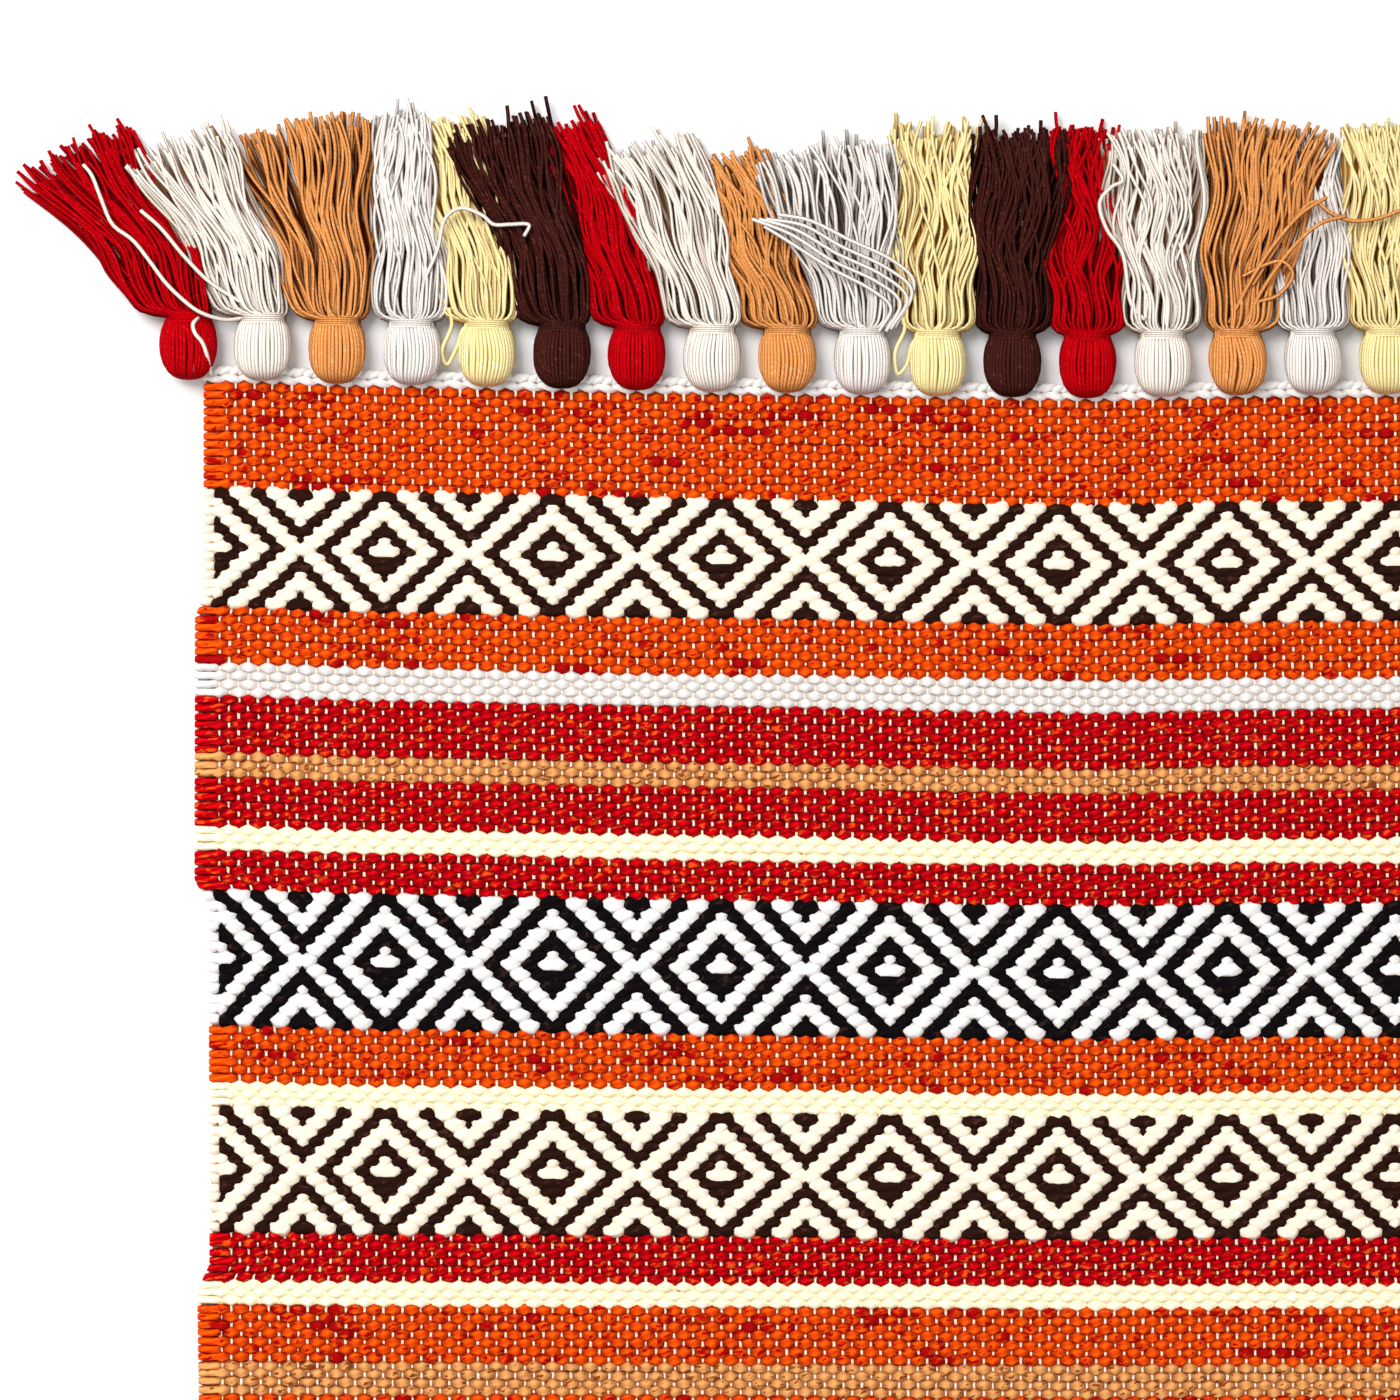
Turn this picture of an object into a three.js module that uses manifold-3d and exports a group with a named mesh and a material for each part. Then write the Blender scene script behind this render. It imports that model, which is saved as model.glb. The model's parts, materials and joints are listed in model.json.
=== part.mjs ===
// A hand-woven runner rug: striped weft over a flat warp, a twined heading at each end and a row of
// tassels on each heading. Millimetres, +Z up, lying flat, origin at the middle of its underside.
// Far end is +Y, near end is -Y. The rug folds in half across its middle and each tassel flips over.
import * as THREE from "three";
import { mergeVertices } from "three/addons/utils/BufferGeometryUtils.js";
import Module from "manifold-3d";

// Overall sizes of the cloth, headings included and tassels left out.
const RUG_WIDTH = 600;
const RUG_LENGTH = 1500;
const CLOTH_THICK = 5.4;
const GAP = 0.3;

// Weave.
const PICK_PITCH = 3.48;
const DIAMOND_ROWS = 13;
const RIB_DEPTH = 0.5;
const WARP_THICK = 1.4;
const SELVEDGE_WIDTH = 5;

// Heading: the twined cord that locks the last weft in place.
const HEADING_LENGTH = 7.3;
const HEADING_THICK = 6.2;
const HEADING_SLOT_DEPTH = 5;

// Tassels.
const TASSELS_PER_END = 20;
const TASSEL_OVERHANG = 5;
const TASSEL_LENGTH = 114;
const HEAD_LENGTH = 18.5;
const HEAD_WIDTH = 24.5;
const HEAD_THICK = 16;
const ROOT_WIDTH = 19;
const ROOT_THICK = 12;
const NECK_WIDTH = 19;
const NECK_THICK = 12;
const NECK_CLEARANCE = 0.5;
const BINDING_LENGTH = 4;
const SKIRT_THICK = 11;
const TIP_THICK = 6;
const TASSEL_SIDES = 10;

const YARN = {
  orange: { color: 0xe0601c, roughness: 0.95, metalness: 0 },
  red: { color: 0xb8121d, roughness: 0.95, metalness: 0 },
  ivory: { color: 0xf3ecdd, roughness: 0.95, metalness: 0 },
  tan: { color: 0xb98a58, roughness: 0.95, metalness: 0 },
  grey: { color: 0xd5d0cc, roughness: 0.95, metalness: 0 },
  yellow: { color: 0xf0df8e, roughness: 0.95, metalness: 0 },
  brown: { color: 0x35201a, roughness: 0.95, metalness: 0 },
};

// Tassel yarns in the order in which they repeat along each end.
const TASSEL_COLOURS = ["red", "ivory", "tan", "grey", "yellow", "brown"];

// Where each skirt's tip lies: its left and right edges, in tassel pitches from the first tassel.
const TIP_SPANS = [
  [-2.25, -0.84], [-0.78, 0.43], [0.49, 2.4], [2.46, 3.35], [3.41, 3.74],
  [3.8, 4.74], [4.8, 5.51], [5.57, 6.69], [6.75, 7.72], [7.78, 9.41],
  [9.47, 10.6], [10.66, 11.65], [11.71, 12.27], [12.33, 13.6], [13.66, 14.75],
  [14.81, 15.42], [15.48, 16.2], [16.5, 17.7], [18.3, 19.78], [19.84, 21.25],
];

// Stretches of weft from a heading to the middle fold, each woven as one block. Plain stretches are
// counted in picks and diamond bands in rows of their own pitch. The last block runs on to the fold.
const WEFT_BLOCKS = [
  { name: "end_stripe", picks: 13, yarn: "orange" },
  { name: "diamond_band_1", rows: DIAMOND_ROWS, pitch: 3.9, yarn: "brown" },
  { name: "wide_stripes", picks: 35, yarn: "red" },
  { name: "diamond_band_2", rows: DIAMOND_ROWS, pitch: 4.42, yarn: "brown" },
  { name: "narrow_stripes", picks: 10, yarn: "orange" },
  { name: "diamond_band_3", rows: DIAMOND_ROWS, pitch: 4.12, yarn: "brown" },
  { name: "mixed_stripes", picks: 37, yarn: "red" },
  { name: "centre_stripes", picks: 0, yarn: "orange" },
];

const wasm = await Module();
wasm.setup();

function toSolid(geometry) {
  const bare = geometry.clone();
  bare.deleteAttribute("normal");
  bare.deleteAttribute("uv");
  const merged = mergeVertices(bare, 1e-4);
  return new wasm.Manifold(new wasm.Mesh({
    numProp: 3,
    vertProperties: new Float32Array(merged.attributes.position.array),
    triVerts: new Uint32Array(merged.index.array),
  }));
}

function toGeometry(solid) {
  const { vertProperties, triVerts } = solid.getMesh();
  const geometry = new THREE.BufferGeometry();
  geometry.setAttribute("position", new THREE.BufferAttribute(vertProperties, 3));
  geometry.setIndex(new THREE.BufferAttribute(triVerts, 1));
  return geometry;
}

function addMesh(group, name, geometry, yarn) {
  const mesh = new THREE.Mesh(geometry, new THREE.MeshStandardMaterial(YARN[yarn]));
  mesh.name = name;
  group.add(mesh);
  return mesh;
}

// Extrudes an outline drawn in (Y, Z) along X, centred on X = 0.
function extrudeAcross(outline, width) {
  const options = { depth: width, bevelEnabled: false, curveSegments: 4 };
  const geometry = new THREE.ExtrudeGeometry(outline, options);
  geometry.translate(0, 0, -width / 2);
  geometry.applyMatrix4(new THREE.Matrix4().makeBasis(
    new THREE.Vector3(0, 1, 0),
    new THREE.Vector3(0, 0, 1),
    new THREE.Vector3(1, 0, 0),
  ));
  return geometry;
}

// One block of weft: a flat sleeve round the warp with a ridge on its face for each pick.
function weftBlock(start, end, ridges) {
  const pitch = (end - start) / ridges;
  const outline = new THREE.Shape();
  outline.moveTo(start, 0);
  outline.lineTo(end, 0);
  outline.lineTo(end, CLOTH_THICK - RIB_DEPTH);
  for (let ridge = ridges - 1; ridge >= 0; ridge -= 1) {
    outline.lineTo(start + (ridge + 0.5) * pitch, CLOTH_THICK);
    outline.lineTo(start + ridge * pitch, CLOTH_THICK - RIB_DEPTH);
  }
  const tunnel = new THREE.BoxGeometry(
    RUG_WIDTH - 2 * SELVEDGE_WIDTH,
    end - start + 2,
    WARP_THICK + 2 * GAP,
  );
  tunnel.translate(0, (start + end) / 2, CLOTH_THICK / 2);
  return toGeometry(toSolid(extrudeAcross(outline, RUG_WIDTH)).subtract(toSolid(tunnel)));
}

// The warp of one half: the flat layer of warp yarns from the fold into the heading's slot.
function warpSheet() {
  const end = RUG_LENGTH / 2 - HEADING_LENGTH + HEADING_SLOT_DEPTH - GAP;
  const start = GAP / 2;
  const sheet = new THREE.BoxGeometry(RUG_WIDTH - 2 * (SELVEDGE_WIDTH + GAP), end - start, WARP_THICK);
  sheet.translate(0, (start + end) / 2, CLOTH_THICK / 2);
  return sheet;
}

// The heading cord: a rounded bar along the end, slotted on its inner side for the warp.
function heading() {
  const inner = RUG_LENGTH / 2 - HEADING_LENGTH;
  const outer = RUG_LENGTH / 2;
  const slotEnd = inner + HEADING_SLOT_DEPTH;
  const slotLow = CLOTH_THICK / 2 - WARP_THICK / 2 - GAP;
  const slotHigh = CLOTH_THICK / 2 + WARP_THICK / 2 + GAP;
  const radius = HEADING_THICK / 3;
  const outline = new THREE.Shape();
  outline.moveTo(inner, 0);
  outline.absarc(outer - radius, radius, radius, -Math.PI / 2, 0, false);
  outline.absarc(outer - radius, HEADING_THICK - radius, radius, 0, Math.PI / 2, false);
  outline.absarc(inner + radius, HEADING_THICK - radius, radius, Math.PI / 2, Math.PI, false);
  outline.lineTo(inner, slotHigh);
  outline.lineTo(slotEnd, slotHigh);
  outline.lineTo(slotEnd, slotLow);
  outline.lineTo(inner, slotLow);
  return extrudeAcross(outline, RUG_WIDTH);
}

// The cross-sections of one tassel, from its root at the heading to its tip.
function tasselSections(rootX, tipLeft, tipRight) {
  const neck = HEAD_LENGTH;
  const tipX = (tipLeft + tipRight) / 2;
  const tipWidth = tipRight - tipLeft;
  const alongSkirt = (share) => {
    const width = THREE.MathUtils.lerp(NECK_WIDTH, tipWidth, share);
    const thick = THREE.MathUtils.lerp(SKIRT_THICK, TIP_THICK, share);
    const y = THREE.MathUtils.lerp(neck + BINDING_LENGTH, TASSEL_LENGTH, share);
    return { y, x: THREE.MathUtils.lerp(rootX, tipX, share), width, thick, z: thick / 2 };
  };
  const headZ = HEAD_THICK / 2;
  const neckZ = NECK_THICK / 2 + NECK_CLEARANCE;
  return [
    { y: 0, x: rootX, width: ROOT_WIDTH, thick: ROOT_THICK, z: headZ },
    { y: HEAD_LENGTH * 0.15, x: rootX, width: HEAD_WIDTH * 0.93, thick: HEAD_THICK * 0.9, z: headZ },
    { y: HEAD_LENGTH * 0.4, x: rootX, width: HEAD_WIDTH, thick: HEAD_THICK, z: headZ },
    { y: HEAD_LENGTH * 0.7, x: rootX, width: HEAD_WIDTH * 0.94, thick: HEAD_THICK * 0.94, z: headZ },
    { y: neck, x: rootX, width: NECK_WIDTH, thick: NECK_THICK, z: neckZ },
    { ...alongSkirt(0), thick: NECK_THICK, z: neckZ },
    alongSkirt(0.12),
    alongSkirt(0.55),
    alongSkirt(1),
  ];
}

// A tassel lies outwards from the heading: a tube with closed ends, fitted to its cross-sections.
function tassel(rootX, tipLeft, tipRight) {
  const sections = tasselSections(rootX, tipLeft, tipRight);
  const last = sections.length - 1;
  const profile = [new THREE.Vector2(0, 0)];
  sections.forEach((section, index) => profile.push(new THREE.Vector2(1, index)));
  profile.push(new THREE.Vector2(0, last));
  const geometry = new THREE.LatheGeometry(profile, TASSEL_SIDES);
  const position = geometry.attributes.position;
  for (let vertex = 0; vertex < position.count; vertex += 1) {
    const section = sections[Math.round(position.getY(vertex))];
    position.setXYZ(
      vertex,
      section.x + position.getX(vertex) * section.width / 2,
      RUG_LENGTH / 2 + GAP + section.y,
      section.z + position.getZ(vertex) * section.thick / 2,
    );
  }
  geometry.computeVertexNormals();
  return geometry;
}

function addWeft(group, side) {
  let edge = RUG_LENGTH / 2 - HEADING_LENGTH;
  WEFT_BLOCKS.forEach(({ name, picks, rows, pitch, yarn }, index) => {
    const isLast = index === WEFT_BLOCKS.length - 1;
    const length = rows ? rows * pitch : picks * PICK_PITCH;
    const inner = isLast ? GAP / 2 : edge - length;
    const ridges = rows ?? (picks || Math.round((edge - inner) / PICK_PITCH));
    const start = isLast ? inner : inner + GAP / 2;
    addMesh(group, `${name}_${side}`, weftBlock(start, edge - GAP / 2, ridges), yarn);
    edge = inner;
  });
}

function addTassels(group, side) {
  const first = -RUG_WIDTH / 2 - TASSEL_OVERHANG;
  const pitch = (RUG_WIDTH + 2 * TASSEL_OVERHANG) / (TASSELS_PER_END - 1);
  for (let index = 0; index < TASSELS_PER_END; index += 1) {
    const [tipLeft, tipRight] = TIP_SPANS[index];
    const geometry = tassel(first + index * pitch, first + tipLeft * pitch, first + tipRight * pitch);
    const number = String(index + 1).padStart(2, "0");
    addMesh(group, `tassel_${side}_${number}`, geometry, TASSEL_COLOURS[index % TASSEL_COLOURS.length]);
  }
}

// One half of the rug, lying towards +Y from the fold.
function rugHalf(side) {
  const half = new THREE.Group();
  addWeft(half, side);
  addMesh(half, `warp_${side}`, warpSheet(), "ivory");
  addMesh(half, `heading_${side}`, heading(), "ivory");
  addTassels(half, side);
  return half;
}

const rug = new THREE.Group();
const nearHalf = rugHalf("near");
nearHalf.rotation.z = Math.PI;
rug.add(rugHalf("far"), nearHalf);

export default rug;
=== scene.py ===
"""A hand-woven runner rug, yarn by yarn: striped and diamond-banded weft on a cotton warp, a twined heading
and a row of bound tassels at each end. Metres, +Z up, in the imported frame: far end +Y, near end -Y."""
import json
import math

import bpy
import numpy as np
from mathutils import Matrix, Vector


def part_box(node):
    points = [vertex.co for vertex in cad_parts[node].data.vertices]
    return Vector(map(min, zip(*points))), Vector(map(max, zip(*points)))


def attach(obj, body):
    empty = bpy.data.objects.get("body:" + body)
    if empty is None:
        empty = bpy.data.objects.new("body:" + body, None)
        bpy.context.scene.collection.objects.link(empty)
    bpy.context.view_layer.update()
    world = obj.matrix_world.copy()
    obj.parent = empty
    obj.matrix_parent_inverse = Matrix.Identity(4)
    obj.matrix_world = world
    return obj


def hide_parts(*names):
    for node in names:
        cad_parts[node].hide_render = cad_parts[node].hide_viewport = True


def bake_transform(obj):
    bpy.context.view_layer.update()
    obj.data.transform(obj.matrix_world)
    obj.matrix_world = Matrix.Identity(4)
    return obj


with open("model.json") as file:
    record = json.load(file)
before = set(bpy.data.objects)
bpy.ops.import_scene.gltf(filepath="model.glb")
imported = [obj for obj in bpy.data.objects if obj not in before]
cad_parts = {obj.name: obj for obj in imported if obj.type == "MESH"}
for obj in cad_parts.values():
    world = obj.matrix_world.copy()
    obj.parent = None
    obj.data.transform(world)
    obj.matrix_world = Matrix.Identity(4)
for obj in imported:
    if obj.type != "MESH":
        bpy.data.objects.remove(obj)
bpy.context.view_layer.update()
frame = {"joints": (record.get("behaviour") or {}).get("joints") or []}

MM = 0.001
BLOCK_LOW, BLOCK_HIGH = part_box("end_stripe_far")
WIDTH = BLOCK_HIGH[0] - BLOCK_LOW[0]
HALF_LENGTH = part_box("heading_far")[1][1]
THICK = BLOCK_HIGH[2]
MID = THICK / 2

# Weave.
WARPS = 149
EDGE_WARPS = 2
WARP_MARGIN = 3 * MM
WEFT_OVERHANG = 1.9 * MM
WARP_PITCH = (WIDTH - 2 * WARP_MARGIN) / (WARPS - 1)
WARP_RADIUS = 1.05 * MM
WARP_CRIMP = 0.5 * MM
WARP_END_GAP = 1.5 * MM
WEFT_THICK = 2.2 * MM
WEFT_CRIMP = MID - WEFT_THICK / 2
PICK_PITCH = 3.48 * MM
DIAMOND_PITCH = 4.12 * MM
DIAMOND_REPEAT = 18
DIAMOND_CENTRE = 73
DIAMOND_ROWS = 13
SIDES = 6
FOLD_REACH = 24 * MM

# How the hand-woven cloth lies off its true grid, in millimetres: how far the picks sag at each distance
# from the left edge, and how far the edges pull in at each distance from the heading.
SAG_ACROSS = [0, 20, 60, 110, 170, 215, 260, 320, 386, 450, 500, 600]
SAG = [0, 0, 1.7, 2.6, 4.1, 5.0, 5.6, 7.0, 7.9, 6.4, 6.3, 4.0]
SAG_DEPTHS = [0, 250, 330, 400, 500, 740]
SAG_SHARES = [1, 0.85, 0.6, 0.25, 0.2, 0]
PULL_DEPTHS = [0, 98, 108, 220, 232, 385, 396, 460, 520, 600, 740]
PULL = [0.8, 0.8, -3.0, -3.2, 3.0, 3.4, -2.0, -1.0, 3.4, 0.6, 0]

# Shape of a pick, for a plain stripe and for each yarn of the diamond bands: its width where it lies over
# the warp and where it changes sides, in rows, and its height where it changes sides, in crimps.
PICK_SHAPES = {
    "plain": (1.6, 1.22, 0.3),
    "light": (1.75, 1.4, 0.6),
    "white": (1.6, 1.0, 0.4),
    "brown": (1.4, 0.5, 0.0),
    "black": (1.5, 0.7, 0.0),
}
# Width of a pick where it lies under the warp, in rows: in a plain stripe and in a diamond band.
UNDER_WIDTH_PLAIN, UNDER_WIDTH_BAND = 1.45, 1.2
# A plain pick lies lower than one of a diamond band and is thicker, as shares of the crimp and thickness.
PLAIN_CRIMP, PLAIN_THICK = 0.56, 1.64
# Sideways shift of the light and the dark yarn of one row where they change sides, in rows.
PAIR_SHIFT = 0.18

# Stripes of each woven block, from the heading towards the fold: yarn and number of picks.
BROWN_BAND = ("diamond_brown", DIAMOND_ROWS)
BLACK_BAND = ("diamond_black", DIAMOND_ROWS)
WIDE = [("orange", 7), ("white", 4), ("red", 7), ("tan", 3), ("red", 6), ("cream", 3), ("red", 5)]
BLOCKS = {
    "end_stripe": [("orange", 13)],
    "diamond_band_1": [BROWN_BAND],
    "wide_stripes": WIDE,
    "diamond_band_2": [BLACK_BAND],
    "narrow_stripes": [("orange", 7), ("cream", 3)],
    "diamond_band_3": [BROWN_BAND],
    "mixed_stripes": [
        ("red", 6), ("cream", 3), ("orange", 7), ("tan", 4), ("orange", 6), ("white", 4), ("red", 7),
    ],
    "centre_stripes": [BLACK_BAND, *WIDE, BROWN_BAND, ("orange", 7)],
}

# Tassels: yarn order, and for each tassel where the left and right edges of its tips lie, in tassel pitches
# from its own root, and the share of the full length its skirt has.
TASSEL_YARNS = ["red", "ivory", "tan", "grey", "yellow", "brown"]
TASSEL_PITCH = (WIDTH + 10 * MM) / 19
TIPS = [
    (-2.25, -0.8, 0.96), (-1.8, -0.45, 0.92), (-1.75, 0.45, 0.96), (-0.45, 0.15, 0.96),
    (-1.2, -0.05, 0.97), (-1.5, -0.2, 1.0), (-1.45, -0.5, 1.0), (-1.5, -0.2, 0.91),
    (-1.4, -0.3, 0.86), (-1.45, 0.5, 0.88),
    (-0.6, 0.7, 0.97), (-0.5, 0.75, 0.95), (-0.4, 0.4, 0.96), (-0.8, 0.55, 0.94), (-0.4, 1.3, 0.98),
    (-0.35, 0.35, 0.9), (-0.6, 0.3, 0.95), (-0.6, 0.8, 0.97), (0.2, 1.8, 0.95), (0.8, 2.25, 0.96),
]
# Tassels whose skirts lie on their neighbours'.
RAISED = {2, 4, 6, 8, 10, 12, 14, 15, 18, 20}
# Single yarns that stray over the neighbours of their tassel, or hang in a loop by its neck: points in
# millimetres from the root of the tassel.
LOOSE = {
    2: [
        [
            (-8, 20, 10), (-16, 19, 13), (-26, 22, 16), (-34, 28, 16), (-41, 35, 15), (-47, 43, 13),
            (-55, 53, 11), (-64, 60, 9), (-69, 71, 8), (-73, 81, 7), (-77, 86, 5),
        ],
        [(-8, 26, 11), (-22, 35, 12), (-33, 46, 12), (-43, 58, 11), (-52, 66, 9)],
        [(-22, -4, 7), (-23, 3, 13), (-25, 9, 15), (-28, 13, 16), (-29, 17, 14), (-27, 20, 12)],
    ],
    4: [
        [
            (5, 37, 11), (11, 51, 10), (14, 64, 9), (21, 69, 9), (30, 66, 9), (35, 62, 9), (42, 62, 9),
            (50, 62, 8), (48, 57, 8),
        ],
    ],
    5: [[(-6, 19, 9), (-10, 18, 9), (-13, 10, 8), (-17, 3, 7), (-19, 9, 9), (-15, 19, 10), (-16, 27, 10)]],
    10: [
        [(10, 20, 11), (16, 32, 12), (6, 41, 13), (-13, 50, 13), (-30, 61, 12), (-47, 68, 10)],
        [(12, 21, 11), (19, 34, 12), (8, 44, 13), (-11, 53, 13), (-28, 63, 12), (-44, 68, 10)],
        [(14, 22, 10), (21, 37, 12), (10, 47, 13), (-9, 56, 13), (-25, 65, 12), (-41, 68, 10)],
        [(7, 20, 11), (12, 30, 12), (3, 38, 13), (-14, 47, 13), (-31, 58, 11), (-42, 65, 10)],
        [(15, 24, 10), (22, 40, 11), (13, 50, 12), (-6, 59, 13), (-22, 67, 12), (-36, 70, 10)],
    ],
    11: [[(-7, 20, 9), (-11, 15, 9), (-13, 7, 8), (-17, 3, 7), (-18, 12, 9), (-14, 22, 10), (-16, 29, 10)]],
    14: [
        [
            (-8, 26, 11), (-14, 34, 10), (-17, 54, 9), (-24, 65, 9), (-27, 76, 9), (-22, 83, 9),
            (-17, 86, 8), (-21, 93, 7),
        ],
    ],
    15: [
        [(8, 33, 11), (17, 36, 12), (23, 44, 12), (19, 50, 12), (12, 49, 12), (2, 44, 10)],
        [(-4, 24, 11), (4, 40, 12), (14, 56, 12), (26, 70, 11), (38, 78, 9)],
        [(2, 22, 11), (10, 38, 12), (22, 55, 12), (34, 66, 11), (46, 70, 9)],
        [
            (6, 40, 11), (16, 56, 10), (23, 67, 9), (32, 76, 9), (40, 71, 9), (49, 68, 8), (60, 69, 8),
            (71, 73, 7),
        ],
    ],
}
HEAD_LENGTH = 18.5 * MM
HEAD_OVERLAP = 6 * MM
HEAD_WIDTH = 24.5 * MM
HEAD_THICK = 16 * MM
NECK_WIDTH = 19 * MM
NECK_THICK = 12 * MM
SKIRT_LENGTH = 92 * MM
STRAND_RADIUS = 0.84 * MM
HEAD_STRAND_RADIUS = 0.9 * MM
BINDING_RADIUS = 0.55 * MM
LOOSE_RADIUS = 0.95 * MM
CORD_RADIUS = 1.65 * MM
HEAD_STRANDS = 42
EXTRA_STRANDS = 60
SKIRT_STEPS = 26
RAISED_LIFT = 2.2 * MM

# The photo's view: how wide it is on the floor, and how far its centre lies from the left edge and the end.
VIEW_WIDTH = 0.601
VIEW_FROM_LEFT = 0.2146
VIEW_FROM_END = 0.1432

YARN_ROUGHNESS = 0.92
YARN_SPECULAR = 0.03


def srgb(r, g, b):
    """An 8-bit screen colour as a linear one."""
    def linear(c):
        c /= 255
        return c / 12.92 if c <= 0.04045 else ((c + 0.055) / 1.055) ** 2.4
    return (linear(r), linear(g), linear(b), 1)


# ---------------------------------------------------------------- materials

def add_node(tree, kind, **inputs):
    node = tree.nodes.new(kind)
    for name, value in inputs.items():
        node.inputs[name.replace("_", " ")].default_value = value
    return node


def maths(tree, operation, *values):
    node = tree.nodes.new("ShaderNodeMath")
    node.operation = operation
    for socket, value in zip(node.inputs, values):
        if isinstance(value, (int, float)):
            socket.default_value = value
        else:
            tree.links.new(value, socket)
    return node.outputs[0]


def mixed(tree, share, first, second):
    node = tree.nodes.new("ShaderNodeMix")
    node.data_type = "RGBA"
    tree.links.new(share, node.inputs[0])
    for socket, value in ((node.inputs[6], first), (node.inputs[7], second)):
        if isinstance(value, tuple):
            socket.default_value = value
        else:
            tree.links.new(value, socket)
    return node.outputs[2]


def yarn_material(
    name, main, shade, fleck, painted_shade, flecks=0.62, streaks=0.8, twist=60.0, plies=5, contrast=0.5, relief=0.5,
):
    """Cotton yarn: plies that wind round it, with flecks and longer streaks of another colour.

    Its fourth colour is painted shade: the colour is mixed towards it where the attribute depth is 1, down
    between, beside and below other yarns."""
    material = bpy.data.materials.new(name)
    material.use_nodes = True
    tree = material.node_tree
    shader = tree.nodes["Principled BSDF"]
    shader.inputs["Roughness"].default_value = YARN_ROUGHNESS
    shader.inputs["Specular IOR Level"].default_value = YARN_SPECULAR
    uv = tree.nodes.new("ShaderNodeUVMap")
    uv.uv_map = "yarn"
    split = tree.nodes.new("ShaderNodeSeparateXYZ")
    tree.links.new(uv.outputs[0], split.inputs[0])
    along, around = split.outputs[0], split.outputs[1]
    tone = tree.nodes.new("ShaderNodeAttribute")
    tone.attribute_name = "tone"
    depth = tree.nodes.new("ShaderNodeAttribute")
    depth.attribute_name = "depth"
    turn = maths(tree, "ADD", maths(tree, "MULTIPLY", along, 1 / twist), around)
    turn = maths(tree, "MULTIPLY_ADD", tone.outputs["Fac"], 5.3, turn)
    wave = maths(tree, "SINE", maths(tree, "MULTIPLY", turn, 2 * math.pi * plies))
    groove = maths(tree, "MULTIPLY_ADD", wave, 0.5, 0.5)
    patches = yarn_noise(tree, along, tone, maths(tree, "MULTIPLY", turn, plies * 1.2), 0.22)
    runs = yarn_noise(tree, along, tone, None, 0.035)
    runs = maths(tree, "MULTIPLY_ADD", patches, 0.35, runs)
    mask = maths(tree, "MAXIMUM", step_up(tree, patches, flecks), step_up(tree, runs, streaks + 0.175))
    # Darker along the grooves between the plies: partly the plies' own colours, partly painted shade in the
    # grooves.
    colour = mixed(tree, maths(tree, "MULTIPLY", groove, contrast), main, shade)
    colour = mixed(tree, mask, colour, fleck)
    # Painted shade: the colour darkens towards the fourth colour where depth is high, between, beside and
    # below other yarns.
    low = maths(tree, "POWER", depth.outputs["Fac"], 1.25)
    colour = mixed(tree, maths(tree, "MINIMUM", low, 1.0), colour, painted_shade)
    tree.links.new(colour, shader.inputs["Base Color"])
    fibre = add_node(tree, "ShaderNodeTexNoise", Scale=900.0, Detail=2.0)
    position = tree.nodes.new("ShaderNodeTexCoord")
    tree.links.new(position.outputs["Object"], fibre.inputs["Vector"])
    height = maths(tree, "MULTIPLY_ADD", fibre.outputs["Fac"], 0.5, groove)
    bump = add_node(tree, "ShaderNodeBump", Strength=relief, Distance=0.0004)
    tree.links.new(height, bump.inputs["Height"])
    tree.links.new(bump.outputs[0], shader.inputs["Normal"])
    return material


def yarn_noise(tree, along, tone, turn, scale):
    """Noise that runs along a yarn and differs from one yarn to the next."""
    place = tree.nodes.new("ShaderNodeCombineXYZ")
    tree.links.new(maths(tree, "MULTIPLY", along, scale), place.inputs[0])
    tree.links.new(maths(tree, "MULTIPLY", tone.outputs["Fac"], 191.7), place.inputs[1])
    if turn is not None:
        tree.links.new(turn, place.inputs[2])
    noise = add_node(tree, "ShaderNodeTexNoise", Scale=1.0, Detail=2.0, Roughness=0.6)
    tree.links.new(place.outputs[0], noise.inputs["Vector"])
    return noise.outputs["Fac"]


def step_up(tree, value, level):
    """0 below a level of a noise, 1 above it."""
    node = tree.nodes.new("ShaderNodeMapRange")
    node.inputs["From Min"].default_value = level - 0.02
    node.inputs["From Max"].default_value = level + 0.03
    tree.links.new(value, node.inputs["Value"])
    return node.outputs[0]


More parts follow.
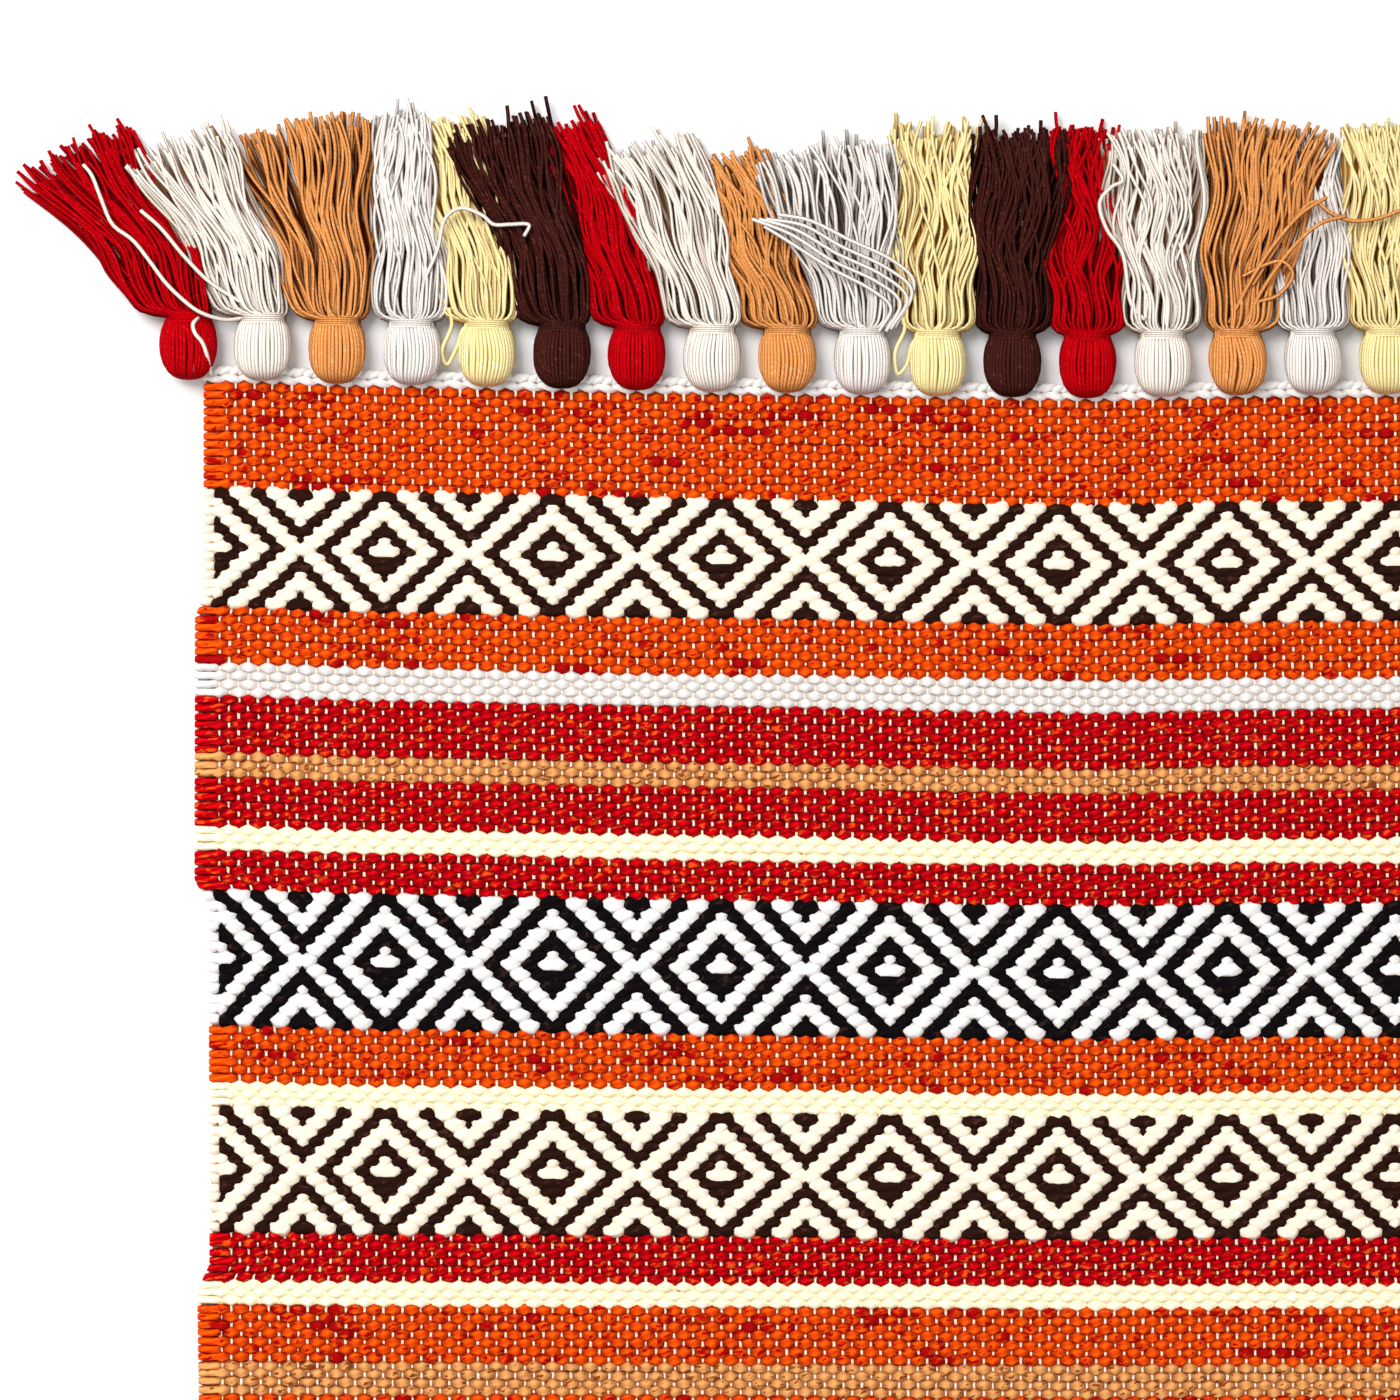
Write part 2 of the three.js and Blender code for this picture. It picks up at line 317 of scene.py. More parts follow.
# Material of the tassels' yarns.
STRAND = {"twist": 4.0, "plies": 2, "contrast": 0.3, "relief": 0.22}
# Each yarn's colours: main, in the grooves between plies, flecks, and last a painted shade colour for where
# it lies between, beside or below other yarns.
YARNS = {
    "orange": yarn_material(
        "yarn_orange", srgb(252, 98, 10), srgb(232, 58, 8), srgb(172, 8, 10), srgb(112, 2, 4),
        flecks=0.61, streaks=0.6, contrast=0.8,
    ),
    "red": yarn_material(
        "yarn_red", srgb(224, 4, 16), srgb(150, 0, 12), srgb(240, 84, 18), srgb(84, 0, 6),
        flecks=0.6, contrast=0.9,
    ),
    "tan": yarn_material(
        "yarn_tan", srgb(244, 174, 104), srgb(216, 140, 74), srgb(140, 70, 32), srgb(120, 50, 20),
        flecks=0.6,
    ),
    "cream": yarn_material(
        "yarn_cream", srgb(255, 251, 222), srgb(253, 246, 206), srgb(255, 254, 240), srgb(244, 226, 180),
        contrast=0.4, relief=0.25,
    ),
    "white": yarn_material(
        "yarn_white", srgb(240, 237, 234), srgb(226, 221, 217), srgb(250, 249, 248), srgb(186, 174, 168),
        contrast=0.5, relief=0.3,
    ),
    "light": yarn_material(
        "yarn_light", srgb(250, 237, 217), srgb(238, 220, 195), srgb(252, 246, 236), srgb(190, 146, 108),
        contrast=0.5, relief=0.3,
    ),
    "brown": yarn_material(
        "yarn_brown", srgb(44, 22, 15), srgb(26, 11, 8), srgb(66, 38, 30), srgb(16, 4, 2),
    ),
    "black": yarn_material(
        "yarn_black", srgb(18, 13, 15), srgb(8, 5, 6), srgb(46, 30, 26), srgb(3, 2, 2),
    ),
    "warp": yarn_material(
        "yarn_warp", srgb(255, 240, 214), srgb(244, 222, 190), srgb(255, 248, 232), srgb(150, 60, 36),
        relief=0.3,
    ),
    "tassel_red": yarn_material(
        "yarn_tassel_red", srgb(200, 0, 14), srgb(150, 0, 8), srgb(220, 14, 26), srgb(84, 0, 2),
        **STRAND,
    ),
    "tassel_ivory": yarn_material(
        "yarn_tassel_ivory", srgb(255, 249, 238), srgb(250, 236, 216), srgb(255, 252, 246),
        srgb(104, 68, 42), **STRAND,
    ),
    "tassel_tan": yarn_material(
        "yarn_tassel_tan", srgb(246, 166, 94), srgb(214, 130, 64), srgb(252, 190, 126), srgb(64, 18, 2),
        **STRAND,
    ),
    "tassel_grey": yarn_material(
        "yarn_tassel_grey", srgb(254, 246, 239), srgb(238, 224, 214), srgb(255, 250, 245), srgb(84, 68, 58),
        **STRAND,
    ),
    "tassel_yellow": yarn_material(
        "yarn_tassel_yellow", srgb(255, 243, 182), srgb(250, 228, 140), srgb(255, 250, 210),
        srgb(150, 96, 14), **STRAND,
    ),
    "tassel_brown": yarn_material(
        "yarn_tassel_brown", srgb(74, 32, 26), srgb(34, 11, 9), srgb(96, 50, 42), srgb(5, 0, 0),
        **STRAND,
    ),
}


# ---------------------------------------------------------------- yarn meshes

def drift(x, y):
    """How the hand-woven cloth lies off its true grid: the picks sag across it and its edges wander."""
    end = np.sign(y)
    from_left = (end * x + WIDTH / 2) / MM
    depth = np.clip((HALF_LENGTH - np.abs(y)) / MM, 0, None)
    drop = np.interp(from_left, SAG_ACROSS, SAG) * np.interp(depth, SAG_DEPTHS, SAG_SHARES) * MM
    near_edge = np.clip(np.abs(x) / (WIDTH / 2), 0, 1.1) ** 6
    edge = np.interp(depth, PULL_DEPTHS, PULL) * MM * near_edge
    return x - np.sign(x) * edge, y - end * drop


def tubes(name, rings, along, tone, depth, materials, slots=None):
    """Closed tubes in one mesh: rings is tube x ring x side x 3, and along the distance at each ring in mm.

    depth says how much painted shade each of the points takes, from 0 to 1: most down between and below
    other yarns and along their sides."""
    count, length, sides, _ = rings.shape
    mesh = bpy.data.meshes.new(name)
    index = np.arange(count * length * sides).reshape(count, length, sides)
    after = np.roll(index, -1, axis=2)
    quads = np.stack([index[:, :-1], after[:, :-1], after[:, 1:], index[:, 1:]], axis=-1).reshape(-1, 4)
    caps = np.concatenate([index[:, 0, ::-1], index[:, -1]])
    corners = np.concatenate([quads.ravel(), caps.ravel()])
    totals = np.concatenate([np.full(len(quads), 4), np.full(len(caps), sides)])
    mesh.vertices.add(index.size)
    mesh.vertices.foreach_set("co", rings.astype(np.float32).ravel())
    mesh.loops.add(len(corners))
    mesh.loops.foreach_set("vertex_index", corners.astype(np.int32))
    mesh.polygons.add(len(totals))
    mesh.polygons.foreach_set("loop_start", np.concatenate([[0], np.cumsum(totals)[:-1]]).astype(np.int32))
    side = np.arange(sides) / sides
    u = np.repeat(along[:, :, None], sides, axis=2)
    v = np.broadcast_to(side, u.shape)
    quad_u = np.stack([u[:, :-1], u[:, :-1], u[:, 1:], u[:, 1:]], axis=-1).reshape(-1)
    next_v = v + 1 / sides
    quad_v = np.stack([v[:, :-1], next_v[:, :-1], next_v[:, 1:], v[:, 1:]], axis=-1).reshape(-1)
    cap_u = np.concatenate([u[:, 0], u[:, -1]]).ravel()
    cap_v = np.concatenate([v[:, 0, ::-1], v[:, -1]]).ravel()
    uv = np.stack([np.concatenate([quad_u, cap_u]), np.concatenate([quad_v, cap_v])], axis=1)
    mesh.uv_layers.new(name="yarn").data.foreach_set("uv", uv.astype(np.float32).ravel())
    tones = np.repeat(tone, length * sides).astype(np.float32)
    mesh.attributes.new("tone", "FLOAT", "POINT").data.foreach_set("value", tones)
    depths = np.broadcast_to(depth, rings.shape[:3]).astype(np.float32).ravel()
    mesh.attributes.new("depth", "FLOAT", "POINT").data.foreach_set("value", depths)
    if slots is not None:
        per_face = np.concatenate([np.repeat(slots, (length - 1) * sides), slots, slots])
        mesh.polygons.foreach_set("material_index", per_face.astype(np.int32))
    mesh.polygons.foreach_set("use_smooth", np.ones(len(totals), dtype=bool))
    mesh.update(calc_edges=True)
    for material in materials:
        mesh.materials.append(material)
    piece = bpy.data.objects.new(name, mesh)
    bpy.context.scene.collection.objects.link(piece)
    return piece


# ---------------------------------------------------------------- cloth

def rows_of(side):
    """Every row of weft of one half: its block, its yarn, its place along the rug and its height."""
    sign = 1 if side == "far" else -1
    rows = []
    for block, stripes in BLOCKS.items():
        low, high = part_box(f"{block}_{side}")
        inner, outer = sorted((abs(low[1]), abs(high[1])))
        yarns = [yarn for yarn, picks in stripes for _ in range(picks)]
        parts = [DIAMOND_PITCH if yarn.startswith("diamond") else PICK_PITCH for yarn in yarns]
        scale = (outer - inner) / sum(parts)
        edge = outer
        for yarn, part in zip(yarns, parts):
            height = part * scale
            rows.append({"block": block, "yarn": yarn, "y": sign * (edge - height / 2), "height": height})
            edge -= height
    if side == "near":
        rows.reverse()
    return rows


def band_rows(rows):
    """Numbers the rows of each diamond band from its centre; the numbers are negative towards +Y."""
    start = 0
    while start < len(rows):
        yarn = rows[start]["yarn"]
        end = start
        while end < len(rows) and rows[end]["yarn"] == yarn and rows[end]["block"] == rows[start]["block"]:
            end += 1
        if yarn.startswith("diamond"):
            for step in range(start, end):
                rows[step]["band"] = step - (start + end - 1) // 2
        start = end
    return rows


def diamond_white(band):
    """Which warps the light yarn passes over in one row of a diamond band."""
    warp = np.arange(WARPS)
    off = np.abs((warp - DIAMOND_CENTRE + DIAMOND_REPEAT // 2) % DIAMOND_REPEAT - DIAMOND_REPEAT // 2)
    light = (off + abs(band)) % 4 < 2
    if band == 1:
        light &= off != 0
    return light


def over_to_rings(over):
    """The weft's lift at every warp and half warp: 1 over, -1 under, 0 where it changes sides."""
    lift = np.where(over, 1.0, -1.0)
    between = (lift[:, :-1] + lift[:, 1:]) / 2
    rings = np.empty((over.shape[0], 2 * WARPS - 1))
    rings[:, 0::2] = lift
    rings[:, 1::2] = between
    return rings


def weave(rows, number):
    """All yarns of some rows: tubes, each with its lift over the warp, its place and its yarn."""
    yarns = []
    for step, row in enumerate(rows):
        if "band" in row:
            light = diamond_white(row["band"])
            yarns.append((row, "light" if row["yarn"] == "diamond_brown" else "white", light, PAIR_SHIFT))
            yarns.append((row, row["yarn"].split("_")[1], ~light, -PAIR_SHIFT))
        else:
            yarns.append((row, row["yarn"], (np.arange(WARPS) + number + step) % 2 == 0, 0.0))
    return yarns


def weft_shape(yarns, plain, lift):
    """Width in rows, height, thickness and depth, the share of painted shade, on top and below of each yarn
    of weft at its rings.
    """
    crown, between, rise = (
        np.array(column)[:, None] for column in zip(*(
            PICK_SHAPES[yarn if "band" in row else "plain"] for row, yarn, _, _ in yarns
        ))
    )
    over, turning = lift > 0.5, np.abs(lift) < 0.5
    beneath = np.where(plain, UNDER_WIDTH_PLAIN, UNDER_WIDTH_BAND)
    width = np.where(over, crown, np.where(turning, between, beneath))
    z = MID + WEFT_CRIMP * np.where(turning, rise, np.where(plain, PLAIN_CRIMP, 1.0) * lift)
    thick = np.where(plain & ~turning, PLAIN_THICK, 1.0) * WEFT_THICK
    # Painted shade where the pick dips: full where it lies under the warp, part where it changes sides,
    # none on top.
    dip_shade = np.where(turning, np.where(plain, 0.5, 0.08), 1.0)
    return width, z, thick, np.where(over, 0.0, dip_shade), np.where(lift < -0.5, 0.0, dip_shade)


def weft_piece(name, yarns, seed):
    random = np.random.default_rng(seed)
    count = len(yarns)
    lift = over_to_rings(np.array([over for _, _, over, _ in yarns]))
    rings = lift.shape[1]
    x = np.linspace(-WIDTH / 2 + WARP_MARGIN, WIDTH / 2 - WARP_MARGIN, rings)
    height = np.array([row["height"] for row, _, _, _ in yarns])[:, None]
    centre = np.array([row["y"] for row, _, _, _ in yarns])[:, None]
    side = np.array([shift for _, _, _, shift in yarns])[:, None]
    plain = np.array(["band" not in row for row, _, _, _ in yarns])
    width, z, thick, depth, under = weft_shape(yarns, plain[:, None], lift)
    turning = np.abs(lift) < 0.5
    width = width * height * random.normal(1, 0.05, lift.shape)
    y = centre + side * turning * height + random.normal(0, 0.12 * MM, lift.shape)
    y = y + 0.3 * MM * np.sin(x[None, :] / 0.045 + random.uniform(0, 6.3, (count, 1)))
    light, dark = side[:, 0] > 0, side[:, 0] < 0
    from_edge = np.minimum(np.arange(rings), np.arange(rings)[::-1])
    for rows, reach, part, tall in (
        (plain, 2 * EDGE_WARPS, 1.08, 2.0), (light, EDGE_WARPS, 1.15, 2.0), (dark, EDGE_WARPS, 0.4, 0.8),
    ):
        where = np.ix_(rows, from_edge < reach)
        width[where] = part * np.broadcast_to(height[rows], width[where].shape)
        z[where] = MID
        thick[where] = MID * tall
        depth[where] = 0.0
        under[where] = 0.0
    x = np.concatenate([[x[0] - WEFT_OVERHANG], x, [x[-1] + WEFT_OVERHANG]])
    y, z, width, thick, depth, under = (
        np.concatenate([a[:, :1], a, a[:, -1:]], axis=1) for a in (y, z, width, thick, depth, under)
    )
    width[:, [0, -1]] *= 0.7
    thick[:, [0, -1]] *= 0.55
    x = np.broadcast_to(x, y.shape)
    angle = 2 * np.pi * np.arange(SIDES) / SIDES
    ring_x = np.repeat(x[:, :, None], SIDES, axis=2)
    ring_y = y[:, :, None] + width[:, :, None] / 2 * np.cos(angle)
    ring_z = z[:, :, None] + thick[:, :, None] / 2 * np.sin(angle) / np.sin(np.pi / 3)
    ring_x, ring_y = drift(ring_x, ring_y)
    # Painted shade along the sides of each pick, where it meets the next row, and on top and below where it
    # dips.
    ends = np.minimum(np.arange(rings + 2), np.arange(rings + 2)[::-1]) <= EDGE_WARPS
    side_shade = np.where(plain[:, None], 0.8, np.where(ends, 0, 0.25))
    side_shade = side_shade[:, :, None] * (np.abs(np.sin(angle)) < 0.5)
    depth = np.where(np.sin(angle) < -0.5, under[:, :, None], depth[:, :, None])
    depth = np.clip(depth + side_shade, 0, 1)
    names = sorted({yarn for _, yarn, _, _ in yarns})
    slots = np.array([names.index(yarn) for _, yarn, _, _ in yarns])
    shape = np.stack([ring_x, ring_y, ring_z], axis=-1)
    return tubes(name, shape, x / MM, random.uniform(0, 1, count), depth, [YARNS[n] for n in names], slots)


def warp_piece(name, warps, rows, yarn_sets, seed):
    """Warp yarns: at each row each one lies opposite to the weft."""
    random = np.random.default_rng(seed)
    tip = HALF_LENGTH - WARP_END_GAP
    ends = [tip, 0] if rows[0]["y"] > 0 else [0, -tip]
    y = np.array([ends[0]] + [row["y"] for row in rows] + [ends[1]])
    lift = np.zeros((len(warps), len(y)))
    for step, yarns in enumerate(yarn_sets):
        over = yarns[0][2]
        if len(yarns) == 1:
            lift[:, step + 1] = np.where(over[warps], -1, 1)
        else:
            change = np.zeros(WARPS)
            change[:-1] += over[:-1] != over[1:]
            change[1:] += over[:-1] != over[1:]
            lift[:, step + 1] = np.where(change[warps] > 0, 0.5, 0)
    edge = (warps < EDGE_WARPS) | (warps >= WARPS - EDGE_WARPS)
    lift[edge] = 0
    x = -WIDTH / 2 + WARP_MARGIN + warps * WARP_PITCH
    z = MID + WARP_CRIMP * np.where(lift > 0, 1, 0.9) * lift
    lift[edge] = -2
    angle = 2 * np.pi * (np.arange(SIDES) + 0.5) / SIDES
    radius = WARP_RADIUS * np.interp(lift, [-2, -1, 0, 1], [0.4, 1.35, 1.15, 0.74])
    radius *= random.normal(1, 0.08, z.shape)
    x = x[:, None] + random.normal(0, 0.2 * MM, z.shape)
    ring_x = x[:, :, None] + radius[:, :, None] * np.sin(angle)
    ring_y = np.broadcast_to(y[None, :, None], ring_x.shape)
    ring_z = z[:, :, None] + radius[:, :, None] * np.cos(angle)
    ring_x, ring_y = drift(ring_x, ring_y)
    along = np.broadcast_to(y / MM, z.shape)
    # Painted shade: the warp darkens where it dips under the weft and along its sides.
    facing = np.where(np.cos(angle) < 0, -lift[:, :, None], lift[:, :, None])
    side_shade = 0.6 * (np.abs(np.cos(angle)) < 0.6)
    depth = np.clip(np.interp(facing, [-1, 0, 1], [1.6, 0.8, 0]) + side_shade, 0, 1)
    shape = np.stack([ring_x, ring_y, ring_z], axis=-1)
    return tubes(name, shape, along, random.uniform(0, 1, len(warps)), depth, [YARNS["warp"]])


def cloth_half(side, seed):
    rows = band_rows(rows_of(side))
    number = 0 if side == "far" else 1
    start = 0
    while start < len(rows):
        block, yarn = rows[start]["block"], rows[start]["yarn"]
        centre = block == "centre_stripes"
        end = start
        while end < len(rows) and rows[end]["block"] == block:
            split = centre and rows[end]["yarn"].startswith("diamond") != yarn.startswith("diamond")
            if split or (centre and rows[end]["yarn"] != yarn and yarn.startswith("diamond")):
                break
            end += 1
        yarns = weave(rows[start:end], number + start)
        middle = abs(rows[start]["y"] + rows[end - 1]["y"]) / 2
        name = f"weft_{block}_{side}"
        if centre:
            name = f"weft_centre_{round(middle / MM):03d}_{side}"
        piece = weft_piece(name, yarns, seed + start)
        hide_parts(f"{block}_{side}")
        if min(abs(rows[start]["y"]), abs(rows[end - 1]["y"])) < FOLD_REACH:
            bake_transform(piece)
        else:
            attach(piece, f"{side}_half")
        start = end
    yarn_sets = [weave([row], number + step) for step, row in enumerate(rows)]
    half = WARPS // 2
    for part, warps in (("left", np.arange(half)), ("right", np.arange(half, WARPS))):
        warp = warp_piece(f"warp_{side}_{part}", warps, rows, yarn_sets, seed + 900 + len(part))
        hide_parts(f"warp_{side}")
        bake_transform(warp)


# ---------------------------------------------------------------- strands along any path

def strand_rings(paths, radius, sides=5):
    """Round tubes along paths (strand x point x 3), with frames carried along each path."""
    tangent = np.gradient(paths, axis=1)
    tangent /= np.linalg.norm(tangent, axis=2, keepdims=True) + 1e-12
    normal = np.empty_like(paths)
    start = np.cross(tangent[:, 0], (0.13, 0.21, 1.0))
    normal[:, 0] = start / np.linalg.norm(start, axis=1, keepdims=True)
    for step in range(1, paths.shape[1]):
        carried = normal[:, step - 1]
        carried = carried - tangent[:, step] * np.sum(carried * tangent[:, step], axis=1, keepdims=True)
        normal[:, step] = carried / (np.linalg.norm(carried, axis=1, keepdims=True) + 1e-12)
    other = np.cross(tangent, normal)
    angle = 2 * np.pi * np.arange(sides) / sides
    out = normal[:, :, None] * np.cos(angle)[:, None] + other[:, :, None] * np.sin(angle)[:, None]
    return paths[:, :, None] + radius[:, :, None, None] * out


def path_lengths(paths):
    steps = np.linalg.norm(np.diff(paths, axis=1), axis=2)
    return np.concatenate([np.zeros((len(paths), 1)), np.cumsum(steps, axis=1)], axis=1) / MM


# ---------------------------------------------------------------- heading

def heading_piece(side, seed):
    """Two rows of two-ply twining, with opposite twists."""
    random = np.random.default_rng(seed)
    low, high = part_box(f"heading_{side}")
    steps = 640
    x = np.linspace(low[0] + 1 * MM, high[0] - 1 * MM, steps)
    sign = 1 if side == "far" else -1
    outer = max(abs(low[1]), abs(high[1]))
    paths = []
    for inset, hand in ((1.9 * MM, 1), (5.4 * MM, -1)):
        for ply in range(2):
            phase = 2 * np.pi * (x / (2 * WARP_PITCH) * hand + ply / 2) + random.normal(0, 0.5)
            y = sign * (outer - inset) + 0.6 * MM * np.sin(phase)
            z = MID + 0.15 * MM + 1.0 * MM * np.cos(phase)
            along_x, along_y = drift(x, y)
            paths.append(np.stack([along_x, along_y, z], axis=1))
    paths = np.array(paths)
    radius = np.full(paths.shape[:2], CORD_RADIUS)
    piece = tubes(
        f"heading_cord_{side}", strand_rings(paths, radius, 8), path_lengths(paths),
        random.uniform(0, 1, len(paths)), 0.0, [YARNS["white"]],
    )
    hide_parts(f"heading_{side}")
    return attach(piece, f"{side}_half")


# ---------------------------------------------------------------- tassels

def head_paths(across, up, inside, slip, lean):
    """The strands over the head, from its nose on the heading at t = 0 to the neck at t = 1."""
    at = np.array([0, 0.05, 0.13, 0.27, 0.45, 0.62, 0.78, 0.9, 1.0, 1.12])
    wide = np.array([0.7, 0.82, 0.91, 0.98, 1.0, 0.99, 0.95, 0.89, 0.83, 0.81]) * HEAD_WIDTH / 2
    above = np.array([0.0, 0.5, 0.78, 0.96, 1.0, 0.98, 0.9, 0.75, 0.58, 0.56]) * HEAD_THICK / 2
    below = np.array([0.5, 0.65, 0.78, 0.9, 1.0, 0.98, 0.95, 0.93, 0.9, 0.88]) * HEAD_THICK / 2
    tall = np.where(up[:, None] > 0, above, below)
    nose = 1 * MM - (HEAD_OVERLAP + 1 * MM) * np.clip(up, 0, 1) ** 0.5
    slant = (lean * up[:, None] + slip[:, None]) * np.sin(np.pi * at + slip[:, None] * 6)
    x = (across[:, None] + slant) * (wide - 0.8 * MM) * inside[:, None]
    z = HEAD_THICK / 2 + up[:, None] * (tall - 0.8 * MM) * inside[:, None]
    y = nose[:, None] + at * (HEAD_LENGTH - nose[:, None])
    return np.stack([x, y, z], axis=-1)


def tassel_paths(left, right, part, lift, random):
    """Strands of one tassel, over the head, through the neck and down the skirt, with their depth: the
    painted shade of their lower layers.
    """
    count = HEAD_STRANDS + EXTRA_STRANDS
    turn = 2 * np.pi * (np.arange(HEAD_STRANDS) + 0.5) / HEAD_STRANDS
    turn = np.concatenate([turn, random.uniform(0, 2 * np.pi, EXTRA_STRANDS)])
    across, up = np.cos(turn), np.sin(turn)
    inside = np.where(np.arange(count) < HEAD_STRANDS, 1.0, 0.55)
    head = head_paths(across, up, inside, random.normal(0, 0.014, count), random.uniform(-0.2, 0.2))
    steps = np.linspace(0, 1, SKIRT_STEPS + 1)[1:] ** 1.25
    share = (np.argsort(np.argsort(across * inside + random.normal(0, 0.2, count))) + 0.5) / count
    layer = np.argsort(np.argsort(up * inside + random.normal(0, 0.25, count))) / count
    base = layer < 0.4
    share[base] = (np.argsort(np.argsort(share[base])) + 0.5) / base.sum()
    tip = TASSEL_PITCH * (left + (right - left) * share)
    bulge = 7 * MM * (2 * share - 1) + 0.06 * TASSEL_PITCH * (left + right)
    start = head[:, -1]
    length = SKIRT_LENGTH * part * random.uniform(0.91, 1.02, count)
    length *= 1 + 0.06 * (random.uniform(0, 1, count) > 0.95)
    reach = np.sqrt(np.maximum(length ** 2 - (tip - start[:, 0]) ** 2, (0.45 * length) ** 2))
    wave = random.uniform(0.9, 1.5) + 0.5 * layer + random.normal(0, 0.07, count)
    phase = random.uniform(0, 6.3) + 2.6 * share + 1.8 * layer + random.normal(0, 0.35, count)
    phase += random.normal(0, 1.5, count) * (random.uniform(0, 1, count) < 0.15)
    sway = random.uniform(2.0, 3.4) * MM * random.uniform(0.6, 1.3, count) * np.where(base, 0.4, 1)
    x = start[:, :1] + bulge[:, None] * (1 - np.exp(-steps / 0.02))
    x = x + (tip - start[:, 0] - bulge)[:, None] * steps ** 1.35
    swing = np.sin(2 * np.pi * wave[:, None] * steps + phase[:, None])
    x = x + sway[:, None] * swing * np.clip(3 * steps, 0, 1)
    y = start[:, 1:2] + reach[:, None] * steps
    floor_z = STRAND_RADIUS * (1.05 + 4.2 * layer)
    ripple = 0.5 * MM * np.sin(9 * steps + phase[:, None]) * (layer[:, None] > 0.3)
    floor_z = floor_z[:, None] + lift * np.clip(steps / 0.6, 0, 1) + ripple
    fall = np.clip(steps / 0.45, 0, 1)
    fall = fall * fall * (3 - 2 * fall)
    hump = 2.0 * MM * np.sin(np.pi * np.clip(steps / 0.4, 0, 1)) * layer[:, None]
    z = start[:, 2:3] * (1 - fall) + floor_z * fall + hump
    z = np.maximum(z, STRAND_RADIUS * 1.02)
    paths = np.concatenate([head, np.stack([x, y, z], axis=-1)], axis=1)
    # Painted shade on the lower layers of the skirt, fading towards the tips.
    low = np.clip(1.25 - layer / 0.62, 0, 1)[:, None] * np.clip((1.06 - steps) / 0.2, 0, 1)
    depth = np.concatenate([np.zeros((count, head.shape[1] - 2)), low[:, :1], low[:, :1], low], axis=1)
    return paths, depth


def binding_path(turns=4.2):
    """The thin yarn wound round the neck."""
    angle = np.linspace(0, 2 * np.pi * turns, 110)
    y = HEAD_LENGTH + np.linspace(-0.6, 3.2, 110) * MM
    x = (NECK_WIDTH / 2 + 0.2 * MM) * np.cos(angle)
    z = NECK_THICK / 2 + 0.9 * MM + (NECK_THICK / 2 + 0.1 * MM) * np.sin(angle)
    return np.stack([x, y, z], axis=1)[None]


def smooth_line(points, count=40):
    """A smooth line through points given in millimetres."""
    points = np.array(points) * MM
    ends = np.concatenate([[2 * points[0] - points[1]], points, [2 * points[-1] - points[-2]]])
    spot = np.linspace(0, len(points) - 1.001, count)
    index = spot.astype(int)
    t = (spot - index)[:, None]
    a, b, c, d = (ends[index + shift] for shift in range(4))
    square, cube = 2 * a - 5 * b + 4 * c - d, 3 * b - a - 3 * c + d
    line = 0.5 * (2 * b + (c - a) * t + square * t ** 2 + cube * t ** 3)
    return line[None]


def loose_yarns(side, number):
    """The single yarns that stray from a tassel of the far end, drawn from its root in millimetres."""
    lines = LOOSE.get(number, []) if side == "far" else []
    return [(f"_loose_{step + 1}", smooth_line(line), LOOSE_RADIUS) for step, line in enumerate(lines)]


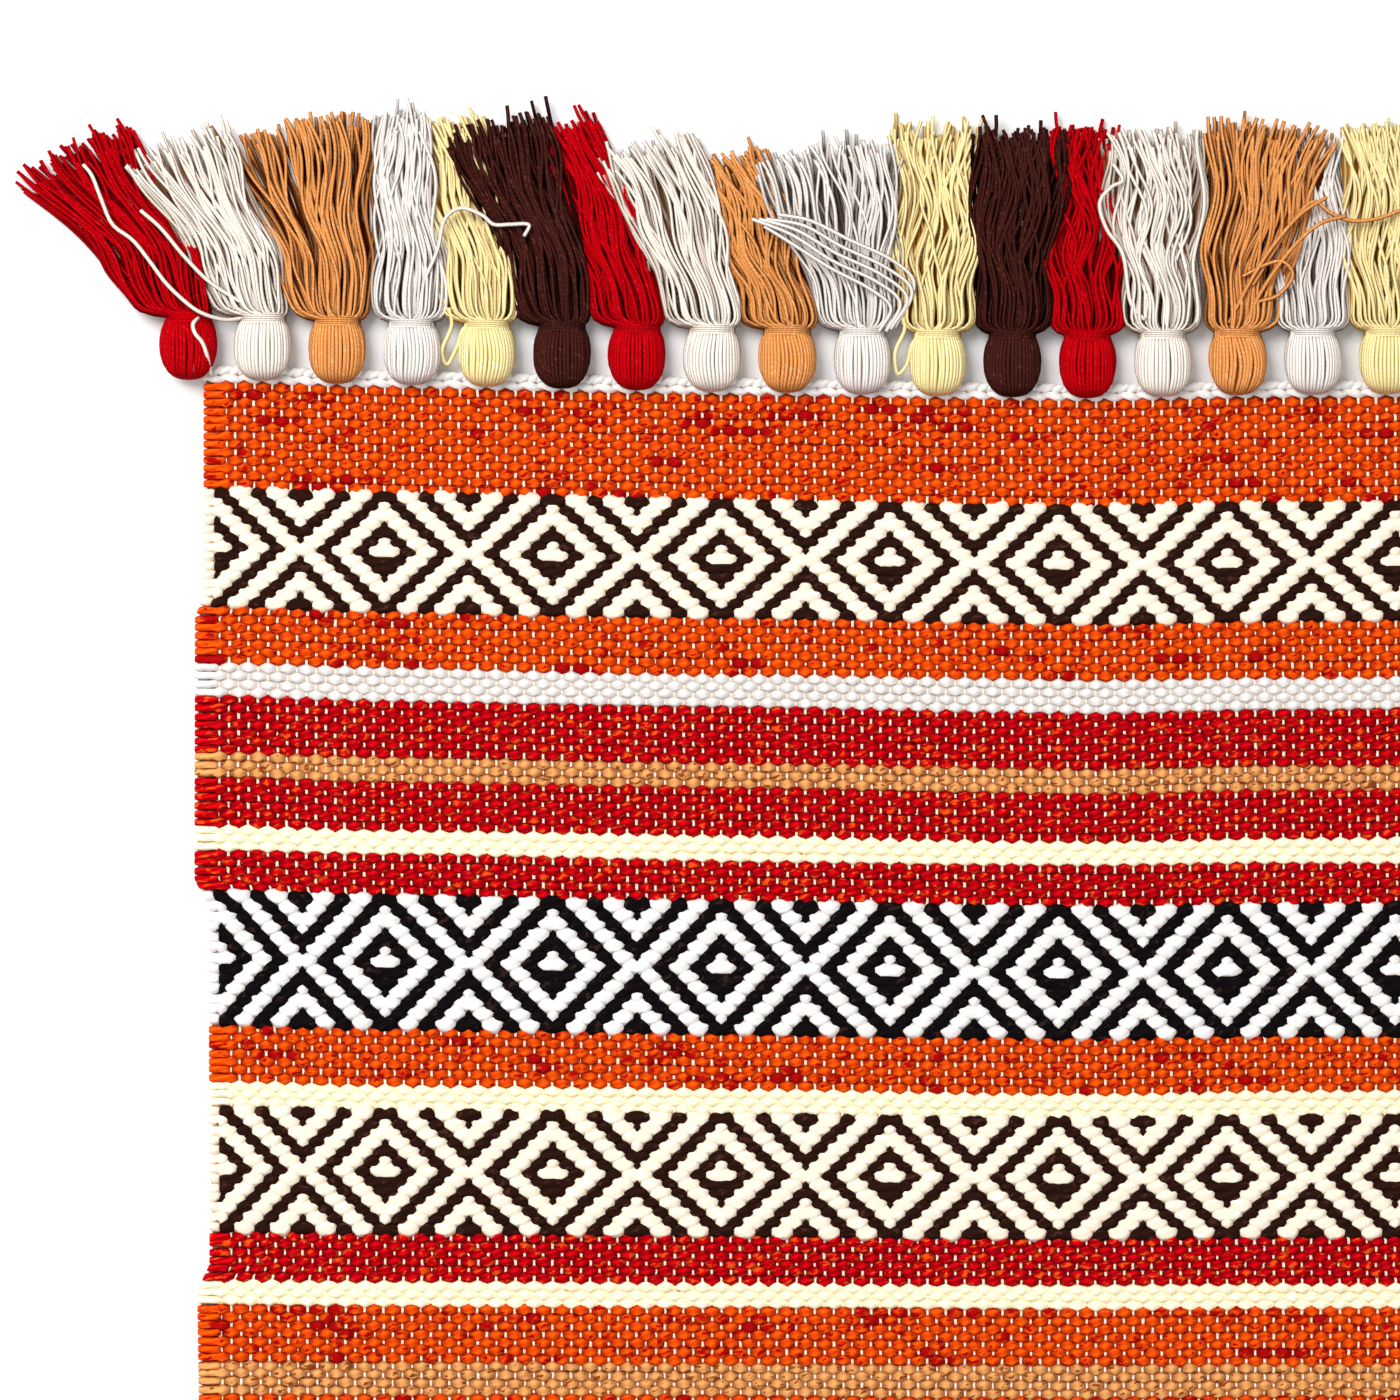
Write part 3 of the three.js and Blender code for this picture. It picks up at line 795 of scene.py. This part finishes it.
def tassel_piece(side, number, seed):
    random = np.random.default_rng(seed)
    node = f"tassel_{side}_{number:02d}"
    yarn = TASSEL_YARNS[(number - 1) % len(TASSEL_YARNS)]
    joint = next(j for j in frame["joints"] if j["name"] == f"{side}_tassel_{number:02d}_flip")
    sign = 1 if side == "far" else -1
    paths, low = tassel_paths(*TIPS[number - 1], RAISED_LIFT if number in RAISED else 0, random)
    in_head = paths.shape[1] - SKIRT_STEPS
    radius = STRAND_RADIUS * random.uniform(0.88, 1.1, (len(paths), 1)) * np.ones((1, paths.shape[1]))
    radius[:, :in_head] = HEAD_STRAND_RADIUS
    radius[:, in_head:in_head + 2] *= 0.9
    root_x, root_y = drift(joint["pos_m"][0], joint["pos_m"][1])
    parts = [("", paths, radius, low)]
    for label, line, thin in [("_binding", binding_path(), BINDING_RADIUS), *loose_yarns(side, number)]:
        parts.append((label, line, np.full(line.shape[:2], thin), np.zeros(line.shape[:2])))
    for label, line, thickness, below in parts:
        shape = strand_rings(line, thickness)
        facing = (shape[..., 2] - line[:, :, None, 2]) / thickness[:, :, None]
        # Painted shade: every strand darkens along its sides, more in the skirt than over the head, and the
        # lower layers darken on top as well.
        rim_shade = np.where(line[:, :, 1] < HEAD_LENGTH, 0.9, 1.6)
        painted_shade = below[:, :, None] * np.clip(facing + 0.6, 0, 1) + rim_shade[:, :, None] * (1 - np.abs(facing))
        painted_shade = np.clip(painted_shade, 0, 1)
        shape = shape * np.array([sign, sign, 1.0]) + np.array([root_x, root_y, 0])
        tone = random.uniform(0, 1, len(shape))
        material = YARNS[f"tassel_{yarn}"]
        piece = tubes(f"yarns_{node}{label}", shape, path_lengths(line), tone, painted_shade, [material])
        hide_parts(node)
        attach(piece, f"{side}_tassel_{number:02d}")


# ---------------------------------------------------------------- studio

def studio():
    bpy.ops.mesh.primitive_plane_add(size=14)
    floor = bpy.context.object
    floor.name = "floor"
    material = bpy.data.materials.new("floor_white")
    material.use_nodes = True
    shader = material.node_tree.nodes["Principled BSDF"]
    shader.inputs["Base Color"].default_value = (0.92, 0.92, 0.92, 1)
    shader.inputs["Roughness"].default_value = 0.9
    floor.data.materials.append(material)
    world = bpy.data.worlds.new("studio")
    world.use_nodes = True
    world.node_tree.nodes["Background"].inputs[0].default_value = (1, 1, 1, 1)
    world.node_tree.nodes["Background"].inputs[1].default_value = 0.72
    bpy.context.scene.world = world
    key = bpy.data.lights.new("key", "AREA")
    key.energy = 70
    key.size = 1.6
    lamp = bpy.data.objects.new("key", key)
    lamp.location = (-1.3, 1.9, 2.2)
    lamp.rotation_euler = (math.radians(-38), math.radians(-31), 0)
    bpy.context.scene.collection.objects.link(lamp)
    bpy.context.scene.view_settings.view_transform = "Standard"


def camera():
    """Straight down on the far left corner of the cloth."""
    lens = bpy.data.cameras.new("camera")
    lens.lens = 120
    lens.sensor_width = 36
    eye = bpy.data.objects.new("camera", lens)
    eye.location = (
        -WIDTH / 2 + VIEW_FROM_LEFT, HALF_LENGTH - VIEW_FROM_END, VIEW_WIDTH * lens.lens / lens.sensor_width
    )
    bpy.context.scene.collection.objects.link(eye)
    bpy.context.scene.camera = eye


studio()
camera()
for end, side in enumerate(("far", "near")):
    cloth_half(side, 1000 * end + 1)
    heading_piece(side, 77 + end)
    for number in range(1, len(TIPS) + 1):
        tassel_piece(side, number, 5000 * (end + 1) + number)

bpy.context.view_layer.update()
